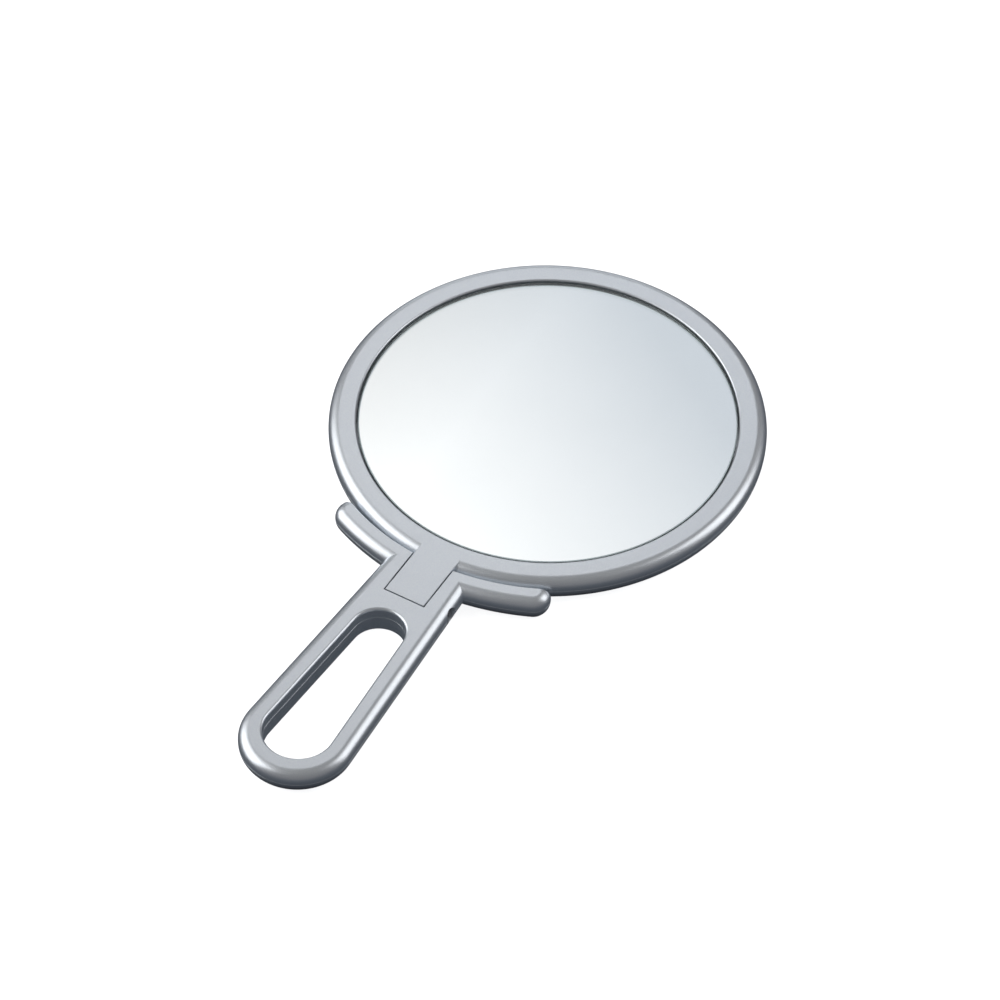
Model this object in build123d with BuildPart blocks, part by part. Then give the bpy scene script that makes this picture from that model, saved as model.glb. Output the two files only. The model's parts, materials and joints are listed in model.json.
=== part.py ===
from build123d import *
import math
import os

# Folding hand mirror: a round framed mirror whose looped handle folds back on a
# friction hinge, so that the curved wings beside the hinge become the front feet.
# Frame: origin at the centre of the head's back face, +Y from handle to head, +Z out
# of the mirror. Millimetres throughout.

# ---- head ----
HEAD_R = 90.0            # outer radius of the frame
OPENING_R = 78.6         # radius of the recess that the glass sits in
THICK = 12.2             # back face to front face, head and handle alike
PARTING_Z = 7.2          # height where front and back shells meet
SHOULDER_R = 4.6         # rounding of every front outer edge
BACK_R = 7.0             # rounding of every back outer edge
OPENING_ROUND = 0.8      # rounding of the recess's front edge
WALL = 2.0               # moulded wall

# ---- glass and its backing ----
GLASS_T = 1.8
GLASS_DROP = 0.7         # glass below the front face
GLASS_GAP = 0.7          # gap left open round the glass
GLASS_BEVEL = 0.5        # width of the bevel ground round the front of the glass
GLASS_BEVEL_DEPTH = 0.25
GLASS_CHAMFER = 0.3
PAD_R = 75.0
PAD_T = 1.0

# ---- hinge ----
PIN_Y = -108.5
PIN_Z = PARTING_Z
TONGUE_HALF = 9.0        # half width of the tongue
TONGUE_REACH = 4.8       # pin to tongue end, and radius of its barrel
TONGUE_EDGE = 0.3        # broken edge of the tongue end
HINGE_GAP = 0.4          # free gap between tongue and fork
SLEEVE_R = 2.5
SLEEVE_BORE_R = 1.55
WASHER_R = 4.0
WASHER_SEAT = 0.5        # depth of the washer seats in the tongue
SCREW_R = 1.5            # M3 shank
SCREW_HOLE_R = 1.6       # hole through each ear
EAR_WALL_X = 14.6        # bottom of the recesses for screw and nut
RECESS_R = 3.4           # round recess for the screw head
PAN_R = 2.8
PAN_T = 2.0
PAN_ROUND = 0.8
SPRING_R = 2.95
SPRING_T = 0.8
SPRING_SPLIT = 0.5       # width of the cut in the spring washer
NUT_FLATS = 5.5
NUT_T = 2.4
NUT_PLAY = 0.1
SCREW_TIP_X = -18.0

# ---- handle ----
NECK_R, NECK_Y = 17.8, -85.5     # the bar is the hull of two circles
END_R, END_Y = 23.5, -193.5
LOOP_TOP_R, LOOP_TOP_Y = 11.0, -133.4
LOOP_END_R, LOOP_END_Y = 14.3, -192.7
LOOP_FRONT_ROUND = 1.2
LOOP_BACK_ROUND = 0.5
NECK_CUT_R = 94.0        # the bar stops at this radius from the head centre
WING_Y = 9.0             # centre of the wings' arcs
WING_IN_R = 100.4
WING_OUT_R = 109.2
WING_ANGLE = 28.5        # each side of -Y
WING_CORNER_R = 7.2
WING_FRONT_BREAK = 0.4   # bevel of the inner front edge
WING_BACK_BREAK = 2.0    # bevel that clears the rim while the handle folds
STOP_LEAN = 0.4          # how far the fork's end wall leans back by the pin's height
STOP_RUN = 4.0           # length of the ramp below it, which stops the fold
LOOP_WALL = 2.0
FRONT_INSET = 2.2        # hollow of the front shell, in from the outline
BACK_INSET = 3.6         # the back shell is rounder, so its hollow is smaller
FRONT_ROOF = 2.2
BACK_FLOOR = 2.4
HOLLOW_TOP_Y = -121.0    # the neck above this stays solid

# ---- self-tapping screws ----
TAP_HEAD_R = 2.1
TAP_HEAD_T = 1.3
TAP_R = 1.05
TAP_LENGTH = 7.0
TAP_TIP = 1.0
TAP_CLEAR_R = 1.25
TAP_BORE_R = 2.3         # counterbore for the head
TAP_SEAT_Z = 3.2         # height of the counterbore's seat
TAP_PLAY = 0.2           # pilot hole beyond the screw's tip
CROSS_WIDTH = 0.7
CROSS_SPAN = 2.4
CROSS_DEPTH = 0.8
BOSS_R = 2.4
RIM_SCREW_R = 84.3
RIM_SCREW_ANGLES = (-30, 30, 90, 150, 210)
NECK_SCREW = (0.0, -98.5, 3.9)
HANDLE_SCREWS = ((-13.8, -98.8), (13.8, -98.8), (-17.0, -160.0), (17.0, -160.0), (0.0, -212.0))

# ---- values worked out from those above ----
GLASS_TOP = THICK - GLASS_DROP
GLASS_BACK = GLASS_TOP - GLASS_T
GLASS_R = OPENING_R - GLASS_GAP
PAD_BACK = GLASS_BACK - PAD_T
POCKET_IN_R = OPENING_R + WALL
POCKET_OUT_R = HEAD_R - WALL
POCKET_TOP = THICK - 2.2
LOCATOR_OUT_R = POCKET_OUT_R - 0.1
LOCATOR_IN_R = LOCATOR_OUT_R - 1.3
LOCATOR_H = 1.0
TONGUE_END_Y = PIN_Y - TONGUE_REACH
TONGUE_BACK_Z = PIN_Z - TONGUE_REACH
FORK_HALF = TONGUE_HALF + HINGE_GAP
FORK_END_Y = TONGUE_END_Y - HINGE_GAP
SLEEVE_HALF = TONGUE_HALF - WASHER_SEAT
RIM_SCREWS = [
    (RIM_SCREW_R * math.cos(math.radians(a)), RIM_SCREW_R * math.sin(math.radians(a)))
    for a in RIM_SCREW_ANGLES
]
ALONG_X = (0, 90, 0)
UPWARD = (Align.CENTER, Align.CENTER, Align.MIN)
FAR = 40.0               # longer than any cut that must run right through


def hull_outline(upper_r, upper_y, lower_r, lower_y, grow=0.0):
    """Outline with straight tapered sides and two round ends, grown outward."""
    with BuildSketch() as outline:
        with Locations((0, upper_y)):
            Circle(upper_r + grow)
        with Locations((0, lower_y)):
            Circle(lower_r + grow)
        make_hull()
    return outline.sketch


def bar_outline(grow=0.0):
    return hull_outline(NECK_R, NECK_Y, END_R, END_Y, grow)


def loop_outline(grow=0.0):
    return hull_outline(LOOP_TOP_R, LOOP_TOP_Y, LOOP_END_R, LOOP_END_Y, grow)


def wing_outline():
    """Curved band below the rim, its outer corners rounded."""
    reach = 2 * WING_OUT_R
    spread = reach * math.tan(math.radians(WING_ANGLE))
    with BuildSketch() as band:
        with Locations((0, WING_Y)):
            Circle(WING_OUT_R)
            Circle(WING_IN_R, mode=Mode.SUBTRACT)
        with BuildLine():
            Polyline((0, WING_Y), (-spread, WING_Y - reach), (spread, WING_Y - reach), close=True)
        make_face(mode=Mode.INTERSECT)
        outer = band.vertices().sort_by_distance((0, WING_Y))[2:]
        fillet(outer, WING_CORNER_R)
    return band.sketch


def rounded_half(outline, inner_edge_at, front):
    """One half of a bar: the outline raised from the parting plane, all its far
    edges rounded except the edge nearest to inner_edge_at."""
    depth = THICK - PARTING_Z if front else -PARTING_Z
    with BuildPart() as half:
        with BuildSketch(Plane.XY.offset(PARTING_Z)):
            add(outline)
        extrude(amount=depth)
        face = half.faces().sort_by(Axis.Z)[-1 if front else 0]
        edges = face.edges().sort_by_distance((*inner_edge_at, PARTING_Z + depth))
        fillet(edges[1:], SHOULDER_R if front else BACK_R)
    return half.part


def handle_blank(front):
    """Bar and wings of one handle shell, joined, still solid."""
    with BuildSketch() as bar:
        add(bar_outline())
        Circle(NECK_CUT_R, mode=Mode.SUBTRACT)
    bar_half = rounded_half(bar.sketch, (0, -NECK_CUT_R), front)
    wing_half = rounded_half(wing_outline(), (0, WING_Y - WING_IN_R), front)
    return bar_half + wing_half


def hinge_cuts(handle_side):
    """Holes on the hinge axis that one handle shell or tongue half shares."""
    with BuildPart() as cuts:
        if handle_side:
            with Locations((0, PIN_Y, PIN_Z)):
                Cylinder(SCREW_HOLE_R, 4 * FAR, rotation=ALONG_X)
            with Locations((EAR_WALL_X, PIN_Y, PIN_Z)):
                Cylinder(RECESS_R, FAR, rotation=ALONG_X, align=UPWARD)
            with BuildSketch(Plane.YZ.offset(-EAR_WALL_X)):
                with Locations((PIN_Y, PIN_Z)):
                    RegularPolygon((NUT_FLATS + NUT_PLAY) / 2, 6, major_radius=False)
            extrude(amount=-FAR)
        else:
            with Locations((0, PIN_Y, PIN_Z)):
                Cylinder(SLEEVE_R, 2 * TONGUE_HALF, rotation=ALONG_X)
            for side in (-1, 1):
                with Locations((side * (TONGUE_HALF - WASHER_SEAT / 2), PIN_Y, PIN_Z)):
                    Cylinder(WASHER_R, WASHER_SEAT, rotation=ALONG_X)
    return cuts.part


def fork_cut():
    """Gap between the ears, with the ramp that stops the fold."""
    with BuildPart() as cut:
        with BuildSketch(Plane.YZ):
            with BuildLine():
                Polyline(
                    (0, THICK), (FORK_END_Y, THICK), (FORK_END_Y - STOP_LEAN, PIN_Z),
                    (FORK_END_Y - STOP_RUN, 0), (0, 0), close=True,
                )
            make_face()
        extrude(amount=FORK_HALF, both=True)
    return cut.part


def screw_column(places, radius, z_from, z_to):
    """Upright cylinders at the given places, for bosses and screw holes."""
    with BuildPart() as column:
        with Locations(*[(x, y, z_from) for x, y in places]):
            Cylinder(radius, z_to - z_from, align=UPWARD)
    return column.part


def self_tappers(places):
    """Pan-head self-tapping screws driven from the back, one solid each."""
    with BuildPart() as screws:
        with Locations(*places):
            Cylinder(TAP_R, TAP_LENGTH - TAP_TIP, align=UPWARD)
        with Locations(*[(x, y, z + TAP_LENGTH - TAP_TIP) for x, y, z in places]):
            Cone(TAP_R, TAP_R / 3, TAP_TIP, align=UPWARD)
        with Locations(*[(x, y, z - TAP_HEAD_T) for x, y, z in places]):
            Cylinder(TAP_HEAD_R, TAP_HEAD_T, align=UPWARD)
            Box(CROSS_SPAN, CROSS_WIDTH, CROSS_DEPTH, align=UPWARD, mode=Mode.SUBTRACT)
            Box(CROSS_WIDTH, CROSS_SPAN, CROSS_DEPTH, align=UPWARD, mode=Mode.SUBTRACT)
    return screws.part


# ---- front_frame: ring round the recessed glass, and the front half of the tongue ----
with BuildPart() as front_frame:
    with BuildSketch(Plane.XZ):
        with BuildLine():
            Line((HEAD_R, PARTING_Z), (HEAD_R, THICK - SHOULDER_R))
            CenterArc((HEAD_R - SHOULDER_R, THICK - SHOULDER_R), SHOULDER_R, 0, 90)
            Line((HEAD_R - SHOULDER_R, THICK), (OPENING_R + OPENING_ROUND, THICK))
            CenterArc((OPENING_R + OPENING_ROUND, THICK - OPENING_ROUND), OPENING_ROUND, 90, 90)
            Polyline(
                (OPENING_R, THICK - OPENING_ROUND), (OPENING_R, PARTING_Z), (POCKET_IN_R, PARTING_Z),
                (POCKET_IN_R, POCKET_TOP), (POCKET_OUT_R, POCKET_TOP), (POCKET_OUT_R, PARTING_Z),
                (HEAD_R, PARTING_Z),
            )
        make_face()
    revolve(axis=Axis.Z)
    tongue_width = 2 * TONGUE_HALF
    with Locations((0, TONGUE_END_Y, PARTING_Z)):
        Box(tongue_width, -TONGUE_END_Y - POCKET_OUT_R, THICK - PARTING_Z,
            align=(Align.CENTER, Align.MIN, Align.MIN))
    with Locations((0, TONGUE_END_Y, POCKET_TOP)):
        Box(tongue_width, -TONGUE_END_Y - HEAD_R + SHOULDER_R + 0.5, THICK - POCKET_TOP,
            align=(Align.CENTER, Align.MIN, Align.MIN))
    tip = front_frame.edges().filter_by_position(Axis.Y, TONGUE_END_Y - 0.1, TONGUE_END_Y + 0.1)
    fillet(tip.filter_by_position(Axis.Z, PARTING_Z + 0.1, THICK), TONGUE_EDGE)
    add(screw_column(RIM_SCREWS, BOSS_R, PARTING_Z, POCKET_TOP))
    add(screw_column(RIM_SCREWS, TAP_R, PARTING_Z, TAP_SEAT_Z + TAP_LENGTH + TAP_PLAY), mode=Mode.SUBTRACT)
    add(screw_column([NECK_SCREW[:2]], TAP_R, PARTING_Z, NECK_SCREW[2] + TAP_LENGTH + TAP_PLAY),
        mode=Mode.SUBTRACT)
    add(hinge_cuts(handle_side=False), mode=Mode.SUBTRACT)

# ---- back_cover: dished back with ribs under the glass, and the back half of the tongue ----
RIB_RADII = (22.0, 48.0, 74.0)
RIB_HALF = 0.8
SPOKES = 8
SPOKE_TOP = PAD_BACK - 0.8

with BuildPart() as back_cover:
    with BuildSketch(Plane.XZ):
        with BuildLine():
            Line((0, 0), (HEAD_R - BACK_R, 0))
            CenterArc((HEAD_R - BACK_R, BACK_R), BACK_R, -90, 90)
            Polyline(
                (HEAD_R, BACK_R), (HEAD_R, PARTING_Z), (LOCATOR_OUT_R, PARTING_Z),
                (LOCATOR_OUT_R, PARTING_Z + LOCATOR_H), (LOCATOR_IN_R, PARTING_Z + LOCATOR_H),
                (LOCATOR_IN_R, 4.2), (HEAD_R - BACK_R, WALL), (0, WALL), (0, 0),
            )
        make_face()
    revolve(axis=Axis.Z)
    with BuildSketch(Plane.XY.offset(WALL)):
        for radius in RIB_RADII:
            Circle(radius + RIB_HALF)
            Circle(radius - RIB_HALF, mode=Mode.SUBTRACT)
    extrude(amount=PAD_BACK - WALL)
    spoke_length = RIB_RADII[-1] - RIB_RADII[0]
    with BuildSketch(Plane.XY.offset(WALL)):
        with PolarLocations(RIB_RADII[0] + spoke_length / 2, SPOKES):
            Rectangle(spoke_length, 2 * RIB_HALF)
    extrude(amount=SPOKE_TOP - WALL)
    with BuildSketch(Plane.YZ):
        with BuildLine():
            CenterArc((PIN_Y, PIN_Z), TONGUE_REACH, 180, 90)
            Polyline(
                (PIN_Y, TONGUE_BACK_Z), (-LOCATOR_IN_R - 0.4, TONGUE_BACK_Z),
                (-LOCATOR_IN_R - 0.4, PARTING_Z), (TONGUE_END_Y, PARTING_Z),
            )
        make_face()
    extrude(amount=TONGUE_HALF, both=True)
    add(screw_column(RIM_SCREWS, BOSS_R + 0.2, PARTING_Z, PARTING_Z + LOCATOR_H), mode=Mode.SUBTRACT)
    add(screw_column(RIM_SCREWS, BOSS_R, WALL, PARTING_Z))
    add(screw_column(RIM_SCREWS, TAP_CLEAR_R, 0, PARTING_Z), mode=Mode.SUBTRACT)
    add(screw_column(RIM_SCREWS, TAP_BORE_R, 0, TAP_SEAT_Z), mode=Mode.SUBTRACT)
    add(screw_column([NECK_SCREW[:2]], TAP_CLEAR_R, 0, PARTING_Z), mode=Mode.SUBTRACT)
    add(screw_column([NECK_SCREW[:2]], TAP_BORE_R, 0, NECK_SCREW[2]), mode=Mode.SUBTRACT)
    add(hinge_cuts(handle_side=False), mode=Mode.SUBTRACT)

# ---- mirror_glass: silvered disc with a ground bevel, stuck down in the recess ----
with BuildPart() as mirror_glass:
    with BuildSketch(Plane.XZ):
        with BuildLine():
            Polyline(
                (0, GLASS_BACK), (GLASS_R - GLASS_CHAMFER, GLASS_BACK), (GLASS_R, GLASS_BACK + GLASS_CHAMFER),
                (GLASS_R, GLASS_TOP - GLASS_BEVEL_DEPTH), (GLASS_R - GLASS_BEVEL, GLASS_TOP),
                (0, GLASS_TOP), close=True,
            )
        make_face()
    revolve(axis=Axis.Z)

# ---- backing_pad: adhesive foam disc that holds the glass on the ribs ----
with BuildPart() as backing_pad:
    with Locations((0, 0, PAD_BACK)):
        Cylinder(PAD_R, PAD_T, align=UPWARD)

# ---- hinge_sleeve: steel tube clamped in the tongue ----
with BuildPart() as hinge_sleeve:
    with Locations((0, PIN_Y, PIN_Z)):
        Cylinder(SLEEVE_R, 2 * SLEEVE_HALF, rotation=ALONG_X)
        Cylinder(SLEEVE_BORE_R, 2 * SLEEVE_HALF, rotation=ALONG_X, mode=Mode.SUBTRACT)


def friction_washer(side):
    """Flat washer between the tongue and one ear; side is -1 left, +1 right."""
    middle = side * (SLEEVE_HALF + FORK_HALF) / 2
    with BuildPart() as washer:
        with Locations((middle, PIN_Y, PIN_Z)):
            Cylinder(WASHER_R, FORK_HALF - SLEEVE_HALF, rotation=ALONG_X)
            Cylinder(SLEEVE_BORE_R, FORK_HALF - SLEEVE_HALF, rotation=ALONG_X, mode=Mode.SUBTRACT)
    return washer.part


# ---- the two handle shells ----
def handle_shell(front):
    """Front or back shell of the handle, with fork, loop, hollow and screw holes."""
    low, high = (PARTING_Z, THICK) if front else (0, PARTING_Z)
    inset = FRONT_INSET if front else BACK_INSET
    hollow_low, hollow_high = (PARTING_Z, THICK - FRONT_ROOF) if front else (BACK_FLOOR, PARTING_Z)
    bevel = WING_FRONT_BREAK if front else WING_BACK_BREAK
    hollow = Sketch() + (bar_outline(-inset) - loop_outline(LOOP_WALL))
    with BuildPart() as shell:
        add(handle_blank(front))
        with BuildSketch(Plane.XY.offset(low)):
            add(loop_outline())
        extrude(amount=high - low, mode=Mode.SUBTRACT)
        far_faces = shell.faces().group_by(Axis.Z)[-1 if front else 0]
        loop_edge = far_faces.sort_by(SortBy.AREA)[-1].inner_wires()[0].edges()
        fillet(loop_edge, LOOP_FRONT_ROUND if front else LOOP_BACK_ROUND)
        add(fork_cut(), mode=Mode.SUBTRACT)
        with Locations((0, WING_Y, high if front else low)):
            Cone(
                WING_IN_R - bevel if front else WING_IN_R + bevel,
                WING_IN_R + bevel if front else WING_IN_R - bevel,
                2 * bevel, mode=Mode.SUBTRACT,
            )
        with BuildSketch(Plane.XY.offset(hollow_low)):
            add(hollow)
            with Locations((0, HOLLOW_TOP_Y)):
                Rectangle(2 * FAR, 2 * FAR, align=(Align.CENTER, Align.MIN), mode=Mode.SUBTRACT)
        extrude(amount=hollow_high - hollow_low, mode=Mode.SUBTRACT)
        add(screw_column(HANDLE_SCREWS[2:], BOSS_R, hollow_low, hollow_high))
        if front:
            pilot_top = TAP_SEAT_Z + TAP_LENGTH + TAP_PLAY
            add(screw_column(HANDLE_SCREWS, TAP_R, low, pilot_top), mode=Mode.SUBTRACT)
        else:
            add(screw_column(HANDLE_SCREWS, TAP_CLEAR_R, low, high), mode=Mode.SUBTRACT)
            add(screw_column(HANDLE_SCREWS, TAP_BORE_R, low, TAP_SEAT_Z), mode=Mode.SUBTRACT)
        add(hinge_cuts(handle_side=True), mode=Mode.SUBTRACT)
    return shell.part


# ---- hinge_screw: M3 pan head, cross recess, head in the right ear ----
with BuildPart() as hinge_screw:
    head_x = EAR_WALL_X + SPRING_T
    with Locations((head_x, PIN_Y, PIN_Z)):
        Cylinder(PAN_R, PAN_T, rotation=ALONG_X, align=UPWARD)
    fillet(hinge_screw.edges().group_by(Axis.X)[-1], PAN_ROUND)
    with Locations((head_x + PAN_T - CROSS_DEPTH / 2, PIN_Y, PIN_Z)):
        Box(CROSS_DEPTH, 2 * (PAN_R - PAN_ROUND), CROSS_WIDTH, mode=Mode.SUBTRACT)
        Box(CROSS_DEPTH, CROSS_WIDTH, 2 * (PAN_R - PAN_ROUND), mode=Mode.SUBTRACT)
    with Locations((SCREW_TIP_X, PIN_Y, PIN_Z)):
        Cylinder(SCREW_R, head_x - SCREW_TIP_X, rotation=ALONG_X, align=UPWARD)

# ---- spring_washer: split washer under the screw head ----
with BuildPart() as spring_washer:
    with Locations((EAR_WALL_X, PIN_Y, PIN_Z)):
        Cylinder(SPRING_R, SPRING_T, rotation=ALONG_X, align=UPWARD)
        Cylinder(SLEEVE_BORE_R, SPRING_T, rotation=ALONG_X, align=UPWARD, mode=Mode.SUBTRACT)
    with Locations((EAR_WALL_X + SPRING_T / 2, PIN_Y, PIN_Z + SPRING_R)):
        Box(SPRING_T, SPRING_SPLIT, 2 * (SPRING_R - SCREW_R), mode=Mode.SUBTRACT)

# ---- hinge_nut: M3 hexagon nut, held in the left ear ----
with BuildPart() as hinge_nut:
    with BuildSketch(Plane.YZ.offset(-EAR_WALL_X)):
        with Locations((PIN_Y, PIN_Z)):
            RegularPolygon(NUT_FLATS / 2, 6, major_radius=False)
            Circle(SCREW_R, mode=Mode.SUBTRACT)
    extrude(amount=-NUT_T)

pieces = {
    "front_frame": front_frame.part,
    "back_cover": back_cover.part,
    "mirror_glass": mirror_glass.part,
    "backing_pad": backing_pad.part,
    "hinge_sleeve": hinge_sleeve.part,
    "friction_washer_left": friction_washer(-1),
    "friction_washer_right": friction_washer(1),
    "head_screws": self_tappers([(x, y, TAP_SEAT_Z) for x, y in RIM_SCREWS] + [NECK_SCREW]),
    "handle_front_shell": handle_shell(front=True),
    "handle_back_shell": handle_shell(front=False),
    "handle_screws": self_tappers([(x, y, TAP_SEAT_Z) for x, y in HANDLE_SCREWS]),
    "hinge_screw": hinge_screw.part,
    "spring_washer": spring_washer.part,
    "hinge_nut": hinge_nut.part,
}
os.makedirs("parts", exist_ok=True)
for name, piece in pieces.items():
    piece.label = name
    export_step(piece, f"parts/{name}.step")
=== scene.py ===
"""Folding hand mirror: silver shells, silvered glass and a friction hinge, on a pale floor."""

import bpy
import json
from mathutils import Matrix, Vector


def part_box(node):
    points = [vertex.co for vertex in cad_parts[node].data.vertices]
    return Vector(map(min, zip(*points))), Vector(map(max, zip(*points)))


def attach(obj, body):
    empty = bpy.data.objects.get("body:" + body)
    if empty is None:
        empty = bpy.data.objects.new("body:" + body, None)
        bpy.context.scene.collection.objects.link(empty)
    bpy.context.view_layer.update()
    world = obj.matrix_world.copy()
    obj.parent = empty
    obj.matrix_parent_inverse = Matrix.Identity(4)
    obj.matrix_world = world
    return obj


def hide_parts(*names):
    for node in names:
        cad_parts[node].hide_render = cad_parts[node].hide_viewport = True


bl_info = {
    "name": "Folding Hand Mirror",
    "version": (1, 0, 0),
    "blender": (4, 5, 0),
    "location": "3D View > Sidebar > Hand Mirror",
    "description": "Builds a folding hand mirror piece by piece around its packed frame",
    "category": "Add Mesh",
}

import json
import math

import bmesh
import bpy
from bpy.props import FloatProperty, FloatVectorProperty, PointerProperty
from mathutils import Matrix, Vector

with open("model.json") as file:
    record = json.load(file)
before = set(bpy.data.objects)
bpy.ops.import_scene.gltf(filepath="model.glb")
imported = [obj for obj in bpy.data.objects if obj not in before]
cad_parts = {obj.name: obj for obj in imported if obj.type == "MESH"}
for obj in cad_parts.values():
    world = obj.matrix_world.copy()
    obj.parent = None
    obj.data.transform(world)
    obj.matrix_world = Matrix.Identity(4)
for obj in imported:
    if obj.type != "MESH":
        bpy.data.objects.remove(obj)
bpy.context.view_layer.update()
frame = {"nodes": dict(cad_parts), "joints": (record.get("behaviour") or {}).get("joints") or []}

MM = 0.001
WHITE = (1.0, 1.0, 1.0)

# ---- sizes that the frame already holds ----
HEAD_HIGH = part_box("back_cover")[1]
FRONT_LOW, FRONT_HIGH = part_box("front_frame")
GLASS_LOW, GLASS_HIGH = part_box("mirror_glass")
SCREW_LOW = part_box("hinge_screw")[0]
WASHER_LOW, WASHER_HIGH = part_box("friction_washer_right")
SLEEVE_LOW, SLEEVE_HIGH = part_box("hinge_sleeve")
NUT_LOW, NUT_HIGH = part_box("hinge_nut")
SPRING_LOW, SPRING_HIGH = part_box("spring_washer")
HANDLE_LOW, HANDLE_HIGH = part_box("handle_front_shell")
PARTING = FRONT_LOW.z
FACE = FRONT_HIGH.z
HEAD_RADIUS = HEAD_HIGH.x
TONGUE_END = FRONT_LOW.y
PIN = Vector(frame["joints"][0]["pos_m"])
TONGUE_REACH = PIN.y - TONGUE_END      # from the pin to the tongue's end, and its barrel's radius
TONGUE_BACK = PIN.z - TONGUE_REACH

# ---- how finely the curves are divided ----
RING_STEPS = 360
ROUND_STEPS = 14
SMALL_STEPS = 48
PILOT_STEPS = 24
CLEAR = 1 * MM           # how far a cutter runs past the face that it cuts
SHARP_ANGLE = math.radians(32)


class HeadSizes(bpy.types.PropertyGroup):
    """Shape of the round head."""

    opening: FloatProperty(
        name="Opening", description="Radius of the recess that the glass sits in",
        default=78.6 * MM, unit="LENGTH")
    opening_round: FloatProperty(
        name="Opening rounding", description="Rounding of the recess's front edge",
        default=0.8 * MM, unit="LENGTH")
    shoulder: FloatProperty(
        name="Front shoulder", description="Rounding of the front outer edges",
        default=4.6 * MM, unit="LENGTH")
    back_round: FloatProperty(
        name="Back rounding", description="Rounding of the back outer edges",
        default=7.0 * MM, unit="LENGTH")
    seam: FloatProperty(
        name="Seam bevel", description="Small bevel along the parting line",
        default=0.08 * MM, unit="LENGTH")
    wall: FloatProperty(
        name="Wall", description="Thickness of the moulded walls", default=2.0 * MM, unit="LENGTH")
    roof: FloatProperty(
        name="Roof", description="Thickness left above the front shells' hollows",
        default=2.2 * MM, unit="LENGTH")
    locator: FloatProperty(
        name="Locator", description="Thickness of the rim that centres the front shell",
        default=1.4 * MM, unit="LENGTH")
    dish: FloatProperty(
        name="Dish", description="Height over which the cover's floor meets its side",
        default=2.2 * MM, unit="LENGTH")
    tongue_half: FloatProperty(
        name="Tongue half width", description="Half the width of the tongue",
        default=9.0 * MM, unit="LENGTH")
    tongue_edge: FloatProperty(
        name="Tongue edge", description="Broken edge of the tongue", default=0.3 * MM, unit="LENGTH")
    screw_circle: FloatProperty(
        name="Screw circle", description="Radius of the circle of rim screws",
        default=84.3 * MM, unit="LENGTH")
    neck_screw: FloatProperty(
        name="Neck screw", description="Distance of the tongue's screw from the centre",
        default=98.5 * MM, unit="LENGTH")


class GlassSizes(bpy.types.PropertyGroup):
    """Shape of the glass and its silvering."""

    bevel: FloatProperty(
        name="Glass bevel", description="Width of the bevel ground round the front",
        default=0.5 * MM, unit="LENGTH")
    bevel_depth: FloatProperty(
        name="Bevel depth", description="Depth of the front bevel", default=0.25 * MM, unit="LENGTH")
    edge: FloatProperty(
        name="Back edge", description="Small bevel on the back edge", default=0.3 * MM, unit="LENGTH")
    silver: FloatProperty(
        name="Silver thickness", description="Thickness of the silver and its lacquer",
        default=0.05 * MM, unit="LENGTH")


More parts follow.
